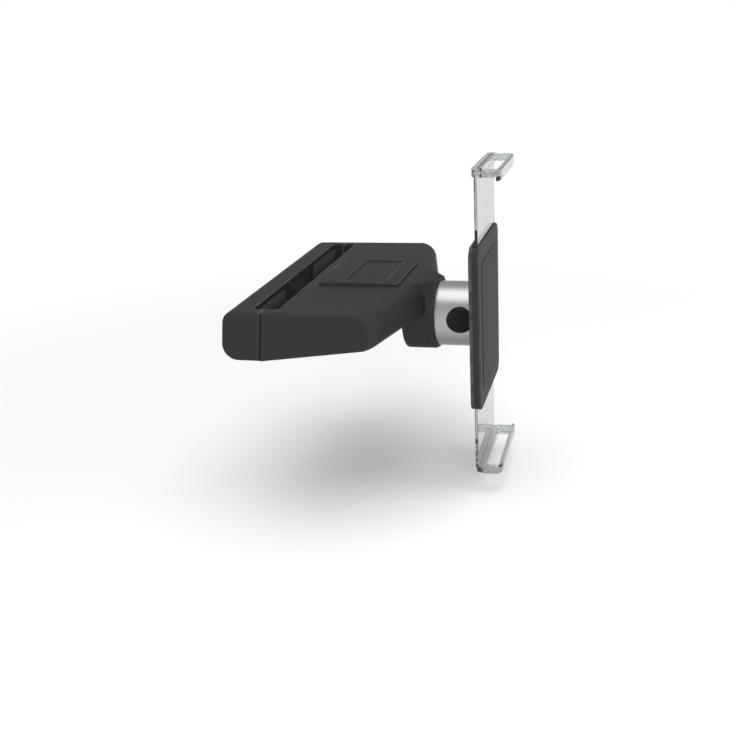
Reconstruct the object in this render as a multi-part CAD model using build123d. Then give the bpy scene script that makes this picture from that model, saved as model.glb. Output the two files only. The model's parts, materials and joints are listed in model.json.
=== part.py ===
from build123d import *
import math
import os

# Clamp body, in millimetres and degrees
BODY_WIDTH = 178.0
BODY_HEIGHT = 30.8
POST_RAKE = 7.0
SEAM_OFFSET = 1.0
END_REAR = 68.5
END_LEAN = 1.1
END_TOP_ROUND = 8.7
END_BOTTOM_ROUND = 7.8
CENTRE_REAR = 87.2
CENTRE_LEAN = 2.5
CENTRE_HALF = 10.0
CENTRE_TOP_ROUND = 13.4
CENTRE_BOTTOM_ROUND = 3.4
ROUND_ROOM = 0.9
PLAN_CORNER = 11.0
PLAN_TURN = 45.0
PLAN_STEPS = 3
BOTTOM_TAPER = 7.6
EDGE_ROUND = 1.8
TOP_WALL = 3.2
SIDE_WALL = 3.0

# Post slot and its soft pads
SLOT_END_WALL = 6.0
SLOT_HALF_DEPTH = 8.0
SLOT_CORNER = 3.0
PAD_THICKNESS = 2.0
PAD_HEIGHT = 23.0
PAD_RIB_PITCH = 5.0
PAD_RIB_RISE = 0.7

# Front jaw
JAW_FRONT = 25.4
JAW_TOP_ROUND = 8.5
JAW_BOTTOM_ROUND = 9.5
JAW_WALL = 4.0
JAW_TRAVEL = 12.0

# Slide gear that carries the jaw
SLIDE_Z = -4.0
BAR_WIDTH = 14.0
BAR_HEIGHT = 4.0
BAR_STOP_WIDTH = 20.0
BAR_STOP_LENGTH = 3.0
ROD_RADIUS = 2.5
ROD_SPACING = 48.0
ROD_TAIL = 4.0
GUIDE_DEPTH = 30.0
SLIDE_CLEARANCE = 0.06
BAR_SCREW_RADIUS = 2.0
BAR_SCREW_Y = 15.0
BAR_SCREW_REACH = 5.0

# Clamp lever, its pin, cam and brake shoe
LEVER_WIDTH = 58.0
LEVER_REAR = 69.4
LEVER_RISE = 2.5
LEVER_PLATE = 6.5
LEVER_RAMP = 9.0
LEVER_TIP = 1.4
LEVER_BEVEL = 1.2
LEVER_CORNER = 3.0
LEVER_RIM = 2.6
LEVER_DISH = 0.9
LEVER_DISH_FRONT = 34.0
LEVER_SKIN = 3.0
KNUCKLE_RADIUS = 8.0
PIN_Y = -22.0
PIN_RADIUS = 2.0
PIN_SEAT = 4.5
LEVER_GAP = 0.4
CAM_WIDTH = 16.0
CAM_RADIUS = 6.4
SHOE_HEIGHT = 1.9
SHOE_LENGTH = 8.0
SHOE_GAP = 0.05

# Base cover under the body
COVER_THICKNESS = 2.4
COVER_FRONT = 10.0
COVER_END_INSET = 6.0
COVER_REAR_END = 56.0
COVER_REAR_CENTRE = 66.0
COVER_CORNER = 4.0
COVER_FIT = 0.15
COVER_LEDGE = 3.0
RIB_ROOM = 1.5
RIB_WIDTH = 8.0
SCREW_RADIUS = 1.4
SCREW_HEAD_RADIUS = 2.6
SCREW_HEAD_HEIGHT = 1.3
SCREW_LENGTH = 9.0
SCREW_BOSS_RADIUS = 3.6

# Collar, ring and ring core
RING_Z = -10.0
COLLAR_RADIUS = 23.0
COLLAR_CREST = 0.4
COLLAR_CORNER = 15.5
COLLAR_END = 87.6
RIM_DEPTH = 2.1
RIM_INSET = 1.0
COLLAR_BLEND = 3.0
BOSS_SPARE = 12.0
BOSS_FRONT = 68.4
BOSS_FRONT_ROUND = 2.0
HOOD_TUCK = 3.0
HOOD_START_CORNER = 3.0
HOOD_LEVEL = 7.6
HOOD_BEND_CORNER = 6.5
HOOD_OVERHANG = 2.5
HOOD_STEPS = ((0.0, 0.0, 0.0), (0.36, 0.6, 0.2), (0.68, 0.94, 0.55), (1.0, 1.0, 1.0))
RING_RADIUS = 20.9
RING_WALL = 2.5
RING_SEAT_DEPTH = 14.0
RING_FIT = 0.05
RING_EDGE = 0.6
BOLT_RADIUS = 3.0
BOLT_HEAD_RADIUS = 5.0
BOLT_HEAD_HEIGHT = 3.0
BOLT_LENGTH = 16.0
BOLT_SOCKET = 2.5
BOLT_SOCKET_DEPTH = 2.0

# Release latch
BUTTON_RADIUS = 8.3
BUTTON_RISE = 1.5
BUTTON_WEB = 1.0
BUTTON_GAP = 0.2
BUTTON_THICKNESS = 3.0
BUTTON_PROUD = 0.3
BUTTON_TRAVEL = 2.0
BUTTON_STEM = 7.0
LATCH_THICKNESS = 3.0
LATCH_RIM = 2.5
LATCH_PLAY = 0.2
LATCH_SCREW_RADIUS = 1.0
LATCH_SCREW_CIRCLE = 16.1
LATCH_SCREW_TURNS = (55.0, 125.0, 235.0, 305.0)
LATCH_SCREW_LENGTH = 12.0
LATCH_SCREW_HEAD = 1.8
SPRING_STRIP = 0.4
SPRING_SPAN = 12.0

# Spigot of the holder
SPIGOT_RADIUS = 11.0
SPIGOT_LENGTH = 15.0
SPIGOT_GROOVE = 1.8
SPIGOT_FIT = 0.1
SPIGOT_NOSE = 1.0
SWIVEL_GAP = 0.3

# Tablet holder
HOLDER_BACK = 115.3
RAIL_WIDTH = 6.0
HOLDER_HALF_HEIGHT = 52.0
HOLDER_CORNER = 8.0
HOLDER_EDGE = 0.8
BACK_WALL = 1.3
FRONT_WALL = 1.2
ARM_THICKNESS = 1.75
LAYER_GAP = 0.1
END_RIB = 3.5
REST_PAD_THICKNESS = 0.8
REST_PAD_PROUD = 0.4
REST_PAD_MARGIN = 11.0
HOLDER_SCREW_RADIUS = 1.0
HOLDER_SCREW_HEAD = 1.9
HOLDER_SCREW_SINK = 0.8
HOLDER_SCREW_LENGTH = 4.2
HOLDER_SCREW_INSET = 3.0
HOLDER_SCREW_ROW = 42.0

# Clear arms and their clips
ARM_HALF_WIDTH = 35.0
TABLET_HALF_HEIGHT = 92.85
CHANNEL_DEPTH = 9.3
LIP_THICKNESS = 2.3
LIP_OVERLAP = 2.4
LIP_ROUND = 2.0
CLIP_BRIDGE = 3.7
CLIP_BAR_DEPTH = 5.8
CLIP_BAR_RISE = 1.0
CLIP_CORNER = 6.0
CLIP_END_WIDTH = 7.0
CLIP_EDGE = 0.6
SLIDE_IN = 28.0
SLIDE_OUT = 12.0

# Pinion between the arms
GEAR_MODULE = 1.0
GEAR_TEETH = 14
PRESSURE_ANGLE = 20.0
PINION_ADDENDUM = 0.9
RACK_ADDENDUM = 0.7
GEAR_ROOT_GAP = 0.25
BACKLASH = 0.24
FLANK_STEPS = 4
NOTCH_ROOM = 1.2
AXLE_RADIUS = 2.0
AXLE_SEAT = 6.0
AXLE_FIT = 0.05
WASHER_THICKNESS = 0.4
WASHER_RADIUS = 5.0
PINION_PLAY = 0.1

# Values worked out from the sizes above
TOP = BODY_HEIGHT / 2
HALF_WIDTH = BODY_WIDTH / 2
SLOT_HALF_LENGTH = HALF_WIDTH - SLOT_END_WALL
PAD_OUTER = SLOT_HALF_LENGTH - SLOT_CORNER
PAD_INNER = ROD_SPACING / 2 + ROD_RADIUS + JAW_WALL
RIB_HALF = ROD_SPACING / 2 + ROD_RADIUS + RIB_ROOM + RIB_WIDTH / 2
HOOD_HALF_WIDTH = LEVER_WIDTH / 2 + HOOD_OVERHANG
COLLAR_TOP = RING_Z + COLLAR_RADIUS + COLLAR_CREST
HOOD_START = BOSS_FRONT + BOSS_FRONT_ROUND
HOOD_BEND = HOOD_START + HOOD_LEVEL
HOLDER_HALF_WIDTH = ARM_HALF_WIDTH + RAIL_WIDTH
LEVER_TOP = TOP + LEVER_RISE
PIN_Z = LEVER_TOP - KNUCKLE_RADIUS
POCKET_FLOOR = LEVER_TOP - LEVER_PLATE - LEVER_GAP
POCKET_HALF = LEVER_WIDTH / 2 + LEVER_GAP
BAR_TOP = SLIDE_Z + BAR_HEIGHT / 2
SHOE_BOTTOM = BAR_TOP + SHOE_GAP
SHOE_TOP = SHOE_BOTTOM + SHOE_HEIGHT
CAM_REACH = PIN_Z - SHOE_TOP - SHOE_GAP
RING_INNER = RING_RADIUS - RING_WALL
RING_SEAT = -(COLLAR_END - RING_SEAT_DEPTH)
RING_END = -(HOLDER_BACK - SWIVEL_GAP)
CORE_RADIUS = RING_INNER - RING_FIT
BUTTON_Y = RING_END + BUTTON_WEB + BUTTON_RADIUS
LATCH_HOLE = SPIGOT_RADIUS + SPIGOT_FIT + LATCH_PLAY
LATCH_RADIUS = LATCH_HOLE + LATCH_RIM
LATCH_FRONT = BUTTON_Y + LATCH_THICKNESS / 2
LATCH_REAR = BUTTON_Y - LATCH_THICKNESS / 2
BACK_INNER = -(HOLDER_BACK + BACK_WALL)
REAR_LAYER = BACK_INNER - LAYER_GAP
FRONT_LAYER = REAR_LAYER - ARM_THICKNESS - LAYER_GAP
FRONT_INNER = FRONT_LAYER - ARM_THICKNESS - LAYER_GAP
HOLDER_FRONT = FRONT_INNER - FRONT_WALL
REST_FACE = HOLDER_FRONT - REST_PAD_PROUD
LIP_INNER = REST_FACE - CHANNEL_DEPTH
LIP_FRONT = LIP_INNER - LIP_THICKNESS
CLIP_REAR = FRONT_LAYER - ARM_THICKNESS / 2 + CLIP_BAR_DEPTH / 2
CLIP_TOP = TABLET_HALF_HEIGHT + CLIP_BRIDGE
PITCH_RADIUS = GEAR_MODULE * GEAR_TEETH / 2
GEAR_PITCH = math.pi * GEAR_MODULE
ARM_FOOT = SLIDE_OUT + 2 * GEAR_PITCH
FAR = 300.0
CUT_OVER = 1.0
TOUCH = 0.02
UNDERSIDE = Pos(0, 0, -TOP) * Rot(-BOTTOM_TAPER, 0, 0)
RAKED = Rot(POST_RAKE, 0, 0)
HOLDER = Pos(0, 0, RING_Z)


def block(x0, x1, y0, y1, z0, z1):
    """Box between two corners."""
    return Pos((x0 + x1) / 2, (y0 + y1) / 2, (z0 + z1) / 2) * Box(x1 - x0, y1 - y0, z1 - z0)


def rod_x(radius, x0, x1, y, z):
    """Round bar along X."""
    return Pos((x0 + x1) / 2, y, z) * Rot(0, 90, 0) * Cylinder(radius, x1 - x0)


def rod_y(radius, y0, y1, x=0.0, z=0.0):
    """Round bar along Y."""
    return Pos(x, (y0 + y1) / 2, z) * Rot(90, 0, 0) * Cylinder(radius, y1 - y0)


def rod_z(radius, z0, z1, x=0.0, y=0.0):
    """Round bar along Z."""
    return Pos(x, y, (z0 + z1) / 2) * Cylinder(radius, z1 - z0)


def side_plane(x):
    """Plane across X whose own axes run along Y and Z."""
    return Plane(origin=(x, 0, 0), x_dir=(0, 1, 0), z_dir=(1, 0, 0))


def rear_plane(y, z=0.0):
    """Plane across Y whose own axes run along X and Z, with its normal to the rear."""
    return Plane(origin=(0, y, z), x_dir=(1, 0, 0), z_dir=(0, -1, 0))


def upright(sketch, y0, y1):
    """Sketch of X and Z made solid from y1 back to y0."""
    return extrude(rear_plane(y1) * sketch, amount=y1 - y0)


def underside_height(y):
    """Height of the tapered underside at a distance along Y."""
    return -TOP - y * math.tan(math.radians(BOTTOM_TAPER))


def ahead_of_seam():
    """Everything in front of the raked seam."""
    return RAKED * block(-FAR, FAR, SEAM_OFFSET, FAR, -FAR, FAR)


def wing_section(x, rear, along):
    """Side profile of the body at one place, along being 0 in the middle and 1 at the end."""
    lean = CENTRE_LEAN + (END_LEAN - CENTRE_LEAN) * along
    top_round = CENTRE_TOP_ROUND + (END_TOP_ROUND - CENTRE_TOP_ROUND) * along
    bottom_round = CENTRE_BOTTOM_ROUND + (END_BOTTOM_ROUND - CENTRE_BOTTOM_ROUND) * along
    low_rear = (-rear, underside_height(-rear))
    low_front = (TOP, underside_height(TOP))
    fit = min(1.0, ROUND_ROOM * (TOP - low_rear[1]) / (top_round + bottom_round))
    rounds = [top_round * fit, bottom_round * fit]
    path = FilletPolyline((TOP, TOP), (-rear - lean, TOP), low_rear, low_front, radius=rounds)
    return side_plane(x) * make_face([*path.edges(), Line(low_front, (TOP, TOP))])


def wing_plan():
    """Places across one wing and the rear of each: a straight slant that turns forward at the end."""
    slant = math.atan2(CENTRE_REAR - END_REAR, HALF_WIDTH - CENTRE_HALF)
    turns = [slant + math.radians(PLAN_TURN) * step / PLAN_STEPS for step in range(PLAN_STEPS + 1)]
    bend = HALF_WIDTH - PLAN_CORNER * (math.sin(turns[-1]) - math.sin(slant))
    places = [(CENTRE_HALF, CENTRE_REAR)]
    start = CENTRE_REAR - (bend - CENTRE_HALF) * math.tan(slant)
    for turn in turns:
        x = bend + PLAN_CORNER * (math.sin(turn) - math.sin(slant))
        places.append((x, start - PLAN_CORNER * (math.cos(slant) - math.cos(turn))))
    return places


def wing():
    """Body form: a straight middle and two tapered wings with rounded ends."""
    solid = extrude(wing_section(-CENTRE_HALF, CENTRE_REAR, 0), amount=2 * CENTRE_HALF, dir=(1, 0, 0))
    span = HALF_WIDTH - CENTRE_HALF
    for side in (-1, 1):
        sections = [wing_section(side * x, rear, (x - CENTRE_HALF) / span) for x, rear in wing_plan()]
        solid += loft(sections[:2], ruled=True)
        solid += loft(sections[1:])
    solid -= ahead_of_seam()
    ends = solid.faces().filter_by(Axis.X).group_by(Axis.X)
    return fillet([*ends[0].edges(), *ends[-1].edges()], EDGE_ROUND)


def arch(y, foot, half_width, top, corner):
    """Flat-footed arch across the body at one depth, with its foot on the ring's axis."""
    height = top - RING_Z
    path = FilletPolyline(
        (foot, 0), (half_width, height), (-half_width, height), (-foot, 0), radius=corner
    )
    return rear_plane(-y, RING_Z) * make_face([*path.edges(), Line((-foot, 0), (foot, 0))])


def hood():
    """Shoulder that runs level behind the lever, then rounds down and in to the collar."""
    tucked = COLLAR_RADIUS - HOOD_TUCK
    start = arch(HOOD_START, tucked, HOOD_HALF_WIDTH, TOP, HOOD_START_CORNER)
    sections = []
    for depth, narrowing, drop in HOOD_STEPS:
        y = HOOD_BEND + (COLLAR_END - HOOD_BEND) * depth
        foot = tucked + HOOD_TUCK * narrowing
        half_width = HOOD_HALF_WIDTH + (COLLAR_RADIUS - HOOD_HALF_WIDTH) * narrowing
        corner = HOOD_BEND_CORNER + (COLLAR_CORNER - HOOD_BEND_CORNER) * depth
        sections.append(arch(y, foot, half_width, TOP + (COLLAR_TOP - TOP) * drop, corner))
    return loft([start, sections[0]], ruled=True) + loft(sections)


def boss():
    """Round boss below the body that holds the ring, longer than the collar."""
    solid = rod_y(COLLAR_RADIUS, -COLLAR_END - BOSS_SPARE, -BOSS_FRONT, z=RING_Z)
    rims = solid.edges().filter_by(GeomType.CIRCLE).sort_by(Axis.Y)
    return fillet(rims[-1:], BOSS_FRONT_ROUND)


def on_collar(edge):
    """Whether an edge runs round the collar where the wing meets it."""
    places = [edge.position_at(share) for share in (0.1, 0.5, 0.9)]
    reach = [math.hypot(p.X, p.Z - RING_Z) - COLLAR_RADIUS for p in places]
    inside = [-COLLAR_END - BOSS_SPARE < p.Y < -HOOD_START for p in places]
    return edge.geom_type == GeomType.BSPLINE and max(map(abs, reach)) < TOUCH and all(inside)


def blended_wing():
    """Wing and boss with a soft hollow where they meet, cut off at the collar's end."""
    solid = wing() + boss()
    solid = fillet(solid.edges().filter_by(on_collar), COLLAR_BLEND)
    return solid - block(-FAR, FAR, -FAR, -COLLAR_END, -FAR, FAR)


def collar_rim():
    """Sloped rim round the rear of the collar."""
    outline = arch(COLLAR_END, COLLAR_RADIUS, COLLAR_RADIUS, COLLAR_TOP, COLLAR_CORNER)
    outline += rear_plane(-COLLAR_END, RING_Z) * Circle(COLLAR_RADIUS)
    rear = Pos(0, -RIM_DEPTH, 0) * offset(outline, amount=-RIM_INSET)
    return loft([outline, rear], ruled=True)


def post_slot():
    """Room for the two posts, cut half into the body and half into the jaw."""
    slot = Box(2 * SLOT_HALF_LENGTH, 2 * SLOT_HALF_DEPTH, FAR)
    return RAKED * fillet(slot.edges().filter_by(Axis.Z), SLOT_CORNER)


def cover_outline():
    """Plan of the base cover, in the plane of the tapered underside."""
    end = HALF_WIDTH - COVER_END_INSET
    corners = [
        (-end, -COVER_FRONT),
        (end, -COVER_FRONT),
        (end, -COVER_REAR_END),
        (RIB_HALF, -COVER_REAR_CENTRE),
        (-RIB_HALF, -COVER_REAR_CENTRE),
        (-end, -COVER_REAR_END),
    ]
    face = make_face(Polyline(*corners, close=True))
    return fillet(face.vertices(), COVER_CORNER)


def cover_screw_places():
    """Screw places in the plane of the underside: two on each rib and one at each end."""
    end = HALF_WIDTH - COVER_END_INSET - COVER_LEDGE - SCREW_BOSS_RADIUS / 2
    front = -COVER_FRONT - COVER_LEDGE - SCREW_HEAD_RADIUS
    rear = -COVER_REAR_CENTRE + COVER_LEDGE + SCREW_HEAD_RADIUS
    places = []
    for side in (-1, 1):
        places += [(side * RIB_HALF, front), (side * RIB_HALF, rear), (side * end, (front + rear) / 2)]
    return places


def body_hollows():
    """Hollow under the top wall: one behind the guide block and one in each wing."""
    plan = offset(cover_outline(), amount=-COVER_LEDGE)
    prism = UNDERSIDE * extrude(plan, amount=2 * BODY_HEIGHT)
    inner = RIB_HALF - RIB_WIDTH / 2
    outer = RIB_HALF + RIB_WIDTH / 2
    middle = block(-inner, inner, -FAR, -GUIDE_DEPTH, -FAR, POCKET_FLOOR - SIDE_WALL)
    hollows = prism & middle
    bosses = [UNDERSIDE * rod_z(SCREW_BOSS_RADIUS, -TOP, 2 * FAR, x, y) for x, y in cover_screw_places()]
    for side in (-1, 1):
        x0, x1 = sorted((side * outer, side * FAR))
        hollows += (prism & block(x0, x1, -FAR, -SLOT_HALF_DEPTH - JAW_WALL, -FAR, TOP - TOP_WALL)) - bosses
    return hollows


def lever_room():
    """Pocket for the lever's plate, round trough for its knuckle and a groove for its cam."""
    rear = -LEVER_REAR - LEVER_GAP
    room = block(-POCKET_HALF, POCKET_HALF, rear, PIN_Y, POCKET_FLOOR, FAR)
    room = fillet(room.edges().filter_by(Axis.Z).group_by(Axis.Y)[0], LEVER_CORNER + LEVER_GAP)
    room += rod_x(KNUCKLE_RADIUS + LEVER_GAP, -POCKET_HALF, POCKET_HALF, PIN_Y, PIN_Z)
    half = CAM_WIDTH / 2 + LEVER_GAP
    groove = rod_x(CAM_REACH + SHOE_GAP, -half, half, PIN_Y, PIN_Z)
    below = block(-half, half, -FAR, PIN_Y, -FAR, POCKET_FLOOR) + block(-half, half, PIN_Y, FAR, -FAR, PIN_Z)
    return room + (groove & below)


def slide_bores(clearance):
    """Bores for the draw bar and the two guide rods."""
    half = BAR_WIDTH / 2 + clearance
    rise = BAR_HEIGHT / 2 + clearance
    bores = block(-half, half, -GUIDE_DEPTH - CUT_OVER, JAW_FRONT - JAW_WALL, SLIDE_Z - rise, SLIDE_Z + rise)
    for side in (-1, 1):
        x = side * ROD_SPACING / 2
        bores += rod_y(ROD_RADIUS + clearance, -GUIDE_DEPTH - CUT_OVER, JAW_FRONT - JAW_WALL, x, SLIDE_Z)
    return bores


def shoe(gap=0.0):
    """Brake shoe between the cam and the draw bar, or the well that it sits in."""
    half = CAM_WIDTH / 2 + gap
    reach = SHOE_LENGTH / 2 + gap
    return block(-half, half, PIN_Y - reach, PIN_Y + reach, SHOE_BOTTOM - gap, SHOE_TOP + gap)


def screw(radius, head_radius, head_height, length):
    """Screw with a flat round head, head at the origin and point up."""
    return rod_z(radius, 0, length) + rod_z(head_radius, 0, head_height)


def cover_screws():
    """Screws that hold the base cover."""
    one = screw(SCREW_RADIUS, SCREW_HEAD_RADIUS, SCREW_HEAD_HEIGHT, SCREW_LENGTH)
    return [UNDERSIDE * Pos(x, y, 0) * one for x, y in cover_screw_places()]


def cover_screw_holes():
    """Holes for the cover's screws."""
    one = screw(SCREW_RADIUS + RING_FIT, SCREW_HEAD_RADIUS + COVER_FIT, SCREW_HEAD_HEIGHT,
                SCREW_LENGTH + CUT_OVER)
    return [UNDERSIDE * Pos(x, y, 0) * one for x, y in cover_screw_places()]


def bolt():
    """Socket bolt that holds the ring's core against the boss."""
    shank = rod_y(BOLT_RADIUS, -BOSS_FRONT - BOLT_LENGTH, -BOSS_FRONT - BOLT_HEAD_HEIGHT, z=RING_Z)
    head = rod_y(BOLT_HEAD_RADIUS, -BOSS_FRONT - BOLT_HEAD_HEIGHT, -BOSS_FRONT, z=RING_Z)
    socket = rear_plane(-BOSS_FRONT, RING_Z) * RegularPolygon(BOLT_SOCKET, 6)
    return shank + head - extrude(socket, amount=BOLT_SOCKET_DEPTH)


def bolt_hole():
    """Stepped hole for the ring's bolt."""
    hole = rod_y(BOLT_RADIUS + RING_FIT, -BOSS_FRONT - BOLT_LENGTH - CUT_OVER, -BOSS_FRONT, z=RING_Z)
    return hole + rod_y(BOLT_HEAD_RADIUS + RING_FIT, -BOSS_FRONT - BOLT_HEAD_HEIGHT, -BOSS_FRONT, z=RING_Z)


def body_housing():
    """Moulded body with its hood, collar, hollows, lever room and slide bores."""
    solid = blended_wing() + hood() + collar_rim()
    solid -= post_slot()
    solid -= rod_y(RING_RADIUS + RING_FIT, -FAR, RING_SEAT, z=RING_Z)
    solid -= bolt_hole()
    solid -= lever_room()
    solid -= slide_bores(SLIDE_CLEARANCE)
    solid -= shoe(SHOE_GAP)
    pin_end = POCKET_HALF + PIN_SEAT
    solid -= rod_x(PIN_RADIUS, -pin_end, pin_end, PIN_Y, PIN_Z)
    rebate = offset(cover_outline(), amount=COVER_FIT)
    solid -= UNDERSIDE * extrude(rebate, amount=COVER_THICKNESS)
    solid -= body_hollows()
    return solid - cover_screw_holes()


def base_cover():
    """Flat cover let into the underside of the body."""
    solid = UNDERSIDE * extrude(cover_outline(), amount=COVER_THICKNESS)
    return solid - cover_screw_holes()


def front_jaw():
    """Moulded jaw in front of the posts, rounded towards the front and cored from below."""
    rake = math.tan(math.radians(POST_RAKE)) * TOP
    path = FilletPolyline(
        (-TOP, TOP),
        (JAW_FRONT - rake, TOP),
        (JAW_FRONT + rake, -TOP),
        (-TOP, -TOP),
        radius=[JAW_TOP_ROUND, JAW_BOTTOM_ROUND],
    )
    profile = side_plane(-HALF_WIDTH) * make_face([*path.edges(), Line((-TOP, -TOP), (-TOP, TOP))])
    solid = extrude(profile, amount=BODY_WIDTH) & ahead_of_seam()
    ends = solid.faces().filter_by(Axis.X).group_by(Axis.X)
    solid = fillet([*ends[0].edges(), *ends[-1].edges()], EDGE_ROUND)
    solid -= post_slot()
    solid -= slide_bores(0)
    for side in (-1, 1):
        x0, x1 = sorted((side * PAD_INNER, side * PAD_OUTER))
        core = block(x0, x1, SLOT_HALF_DEPTH + JAW_WALL, JAW_FRONT - JAW_WALL, -FAR, TOP - 2 * JAW_WALL)
        solid -= RAKED * core
    return solid - bar_screw(RING_FIT)


def bar_screw(gap=0.0):
    """Screw that holds the draw bar in the jaw, from below."""
    one = screw(BAR_SCREW_RADIUS + gap, 2 * BAR_SCREW_RADIUS + gap, BAR_SCREW_RADIUS + gap,
                TOP + BAR_SCREW_REACH + gap)
    return Pos(0, BAR_SCREW_Y, -TOP) * one


def draw_bar():
    """Flat bar that joins the jaw to the body, with a wider end that stops it."""
    half = BAR_WIDTH / 2
    low = SLIDE_Z - BAR_HEIGHT / 2
    stop = -GUIDE_DEPTH - JAW_TRAVEL
    bar = block(-half, half, stop - BAR_STOP_LENGTH, JAW_FRONT - JAW_WALL, low, BAR_TOP)
    wide = BAR_STOP_WIDTH / 2
    bar += block(-wide, wide, stop - BAR_STOP_LENGTH, stop, low, BAR_TOP)
    return bar - bar_screw(RING_FIT)


def guide_rod(side):
    """Round rod fixed in the jaw that keeps it square to the body."""
    rear = -GUIDE_DEPTH - JAW_TRAVEL - ROD_TAIL
    rod = rod_y(ROD_RADIUS, rear, JAW_FRONT - JAW_WALL, side * ROD_SPACING / 2, SLIDE_Z)
    return chamfer(rod.edges().filter_by(GeomType.CIRCLE), ROD_RADIUS / 5)


def slot_pad(side, facing):
    """Soft ribbed liner of one post slot, on the jaw or on the body."""
    count = int((PAD_OUTER - PAD_INNER) / PAD_RIB_PITCH)
    pitch = (PAD_OUTER - PAD_INNER) / count
    face = -facing * (SLOT_HALF_DEPTH - PAD_THICKNESS)
    points = [(PAD_INNER, -facing * SLOT_HALF_DEPTH)]
    for rib in range(count):
        x = PAD_INNER + rib * pitch
        points += [(x, face), (x + pitch / 2, face + facing * PAD_RIB_RISE)]
    points += [(PAD_OUTER, face), (PAD_OUTER, -facing * SLOT_HALF_DEPTH)]
    plan = make_face(Polyline(*[(side * x, y) for x, y in points], close=True))
    return RAKED * Pos(0, 0, -PAD_HEIGHT / 2) * extrude(plan, amount=PAD_HEIGHT, dir=(0, 0, 1))


def lever_front():
    """Front view of the lever's plate and knuckle, with bevelled upper edges."""
    half = LEVER_WIDTH / 2
    low = PIN_Z - KNUCKLE_RADIUS
    corners = [
        (-half, low),
        (half, low),
        (half, LEVER_TOP - LEVER_BEVEL),
        (half - LEVER_BEVEL, LEVER_TOP),
        (LEVER_BEVEL - half, LEVER_TOP),
        (-half, LEVER_TOP - LEVER_BEVEL),
    ]
    return make_face(Polyline(*corners, close=True))


def lever_dish():
    """Shallow recess in the lever's top, inside its rim."""
    half = LEVER_WIDTH / 2 - LEVER_RIM
    dish = block(-half, half, -LEVER_REAR + LEVER_RAMP, -LEVER_DISH_FRONT, LEVER_TOP - LEVER_DISH, FAR)
    return fillet(dish.edges().filter_by(Axis.Z), LEVER_CORNER / 2)


def clamp_lever():
    """Lever with a sloped free end, a full-width knuckle and a cam under its middle."""
    low = LEVER_TOP - LEVER_PLATE
    corners = [
        (PIN_Y, LEVER_TOP),
        (-LEVER_REAR + LEVER_RAMP, LEVER_TOP),
        (-LEVER_REAR, TOP + LEVER_TIP),
        (-LEVER_REAR, low),
        (PIN_Y, low),
    ]
    half = LEVER_WIDTH / 2
    profile = make_face(Polyline(*corners, close=True)) + Pos(PIN_Y, PIN_Z) * Circle(KNUCKLE_RADIUS)
    solid = extrude(side_plane(-half) * profile, amount=LEVER_WIDTH)
    solid &= upright(lever_front(), -LEVER_REAR, PIN_Y + KNUCKLE_RADIUS)
    tip = solid.edges().filter_by(Axis.Z).group_by(Axis.Y)[0]
    solid = fillet(tip, LEVER_CORNER)
    solid -= lever_dish()
    solid += rod_x(CAM_RADIUS, -CAM_WIDTH / 2, CAM_WIDTH / 2, PIN_Y, PIN_Z - (CAM_REACH - CAM_RADIUS))
    inset = half - LEVER_SKIN
    solid -= block(-inset, inset, -LEVER_REAR + LEVER_RAMP, PIN_Y - KNUCKLE_RADIUS - LEVER_SKIN,
                   low, LEVER_TOP - LEVER_DISH - LEVER_SKIN)
    return solid - rod_x(PIN_RADIUS + AXLE_FIT, -half, half, PIN_Y, PIN_Z)


def lever_pin():
    """Steel pin that the lever turns on, seated in the body on both sides."""
    end = POCKET_HALF + PIN_SEAT
    return rod_x(PIN_RADIUS, -end, end, PIN_Y, PIN_Z)


def button_bore(radius, depth):
    """Round hole from the side of the ring inwards."""
    return rod_x(radius, -FAR, -depth, BUTTON_Y, RING_Z + BUTTON_RISE)


def ring_sleeve():
    """Aluminium ring between the collar and the holder, with a hole for the button."""
    tube = rod_y(RING_RADIUS, RING_END, RING_SEAT, z=RING_Z)
    rims = tube.edges().filter_by(GeomType.CIRCLE).sort_by(Axis.Y)
    tube = chamfer(rims[:1], RING_EDGE)
    tube -= rod_y(RING_INNER, RING_END, RING_SEAT, z=RING_Z)
    return tube - button_bore(BUTTON_RADIUS + BUTTON_GAP, 0)


def latch_slot():
    """Flat room for the latch plate, long enough for its travel, with a pocket for the spring."""
    plan = SlotCenterToCenter(BUTTON_TRAVEL + 2 * LATCH_PLAY, 2 * (LATCH_RADIUS + LATCH_PLAY))
    plan = Pos(-BUTTON_TRAVEL / 2, 0) * plan
    plan += Pos(CORE_RADIUS / 2, 0) * Rectangle(CORE_RADIUS, SPRING_SPAN + 4 * LATCH_PLAY)
    plan += Pos(-CORE_RADIUS / 2, 0) * Rectangle(CORE_RADIUS, BUTTON_STEM + 2 * LATCH_PLAY)
    room = extrude(rear_plane(LATCH_FRONT, RING_Z) * plan, amount=LATCH_THICKNESS + LATCH_PLAY)
    return room + button_bore(BUTTON_RADIUS + BUTTON_GAP, CORE_RADIUS - BUTTON_THICKNESS)


def latch_screw_places():
    """Angles and places of the latch cover's screws round the spigot."""
    turns = [math.radians(a) for a in LATCH_SCREW_TURNS]
    return [(LATCH_SCREW_CIRCLE * math.cos(t), LATCH_SCREW_CIRCLE * math.sin(t)) for t in turns]


def latch_screws(gap=0.0):
    """Screws that hold the latch cover on the core."""
    rear = RING_END + RING_EDGE
    one = screw(LATCH_SCREW_RADIUS + gap, LATCH_SCREW_HEAD + gap, LATCH_SCREW_RADIUS,
                LATCH_SCREW_LENGTH + gap)
    return [Pos(x, rear, RING_Z + z) * Rot(-90, 0, 0) * one for x, z in latch_screw_places()]


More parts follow.
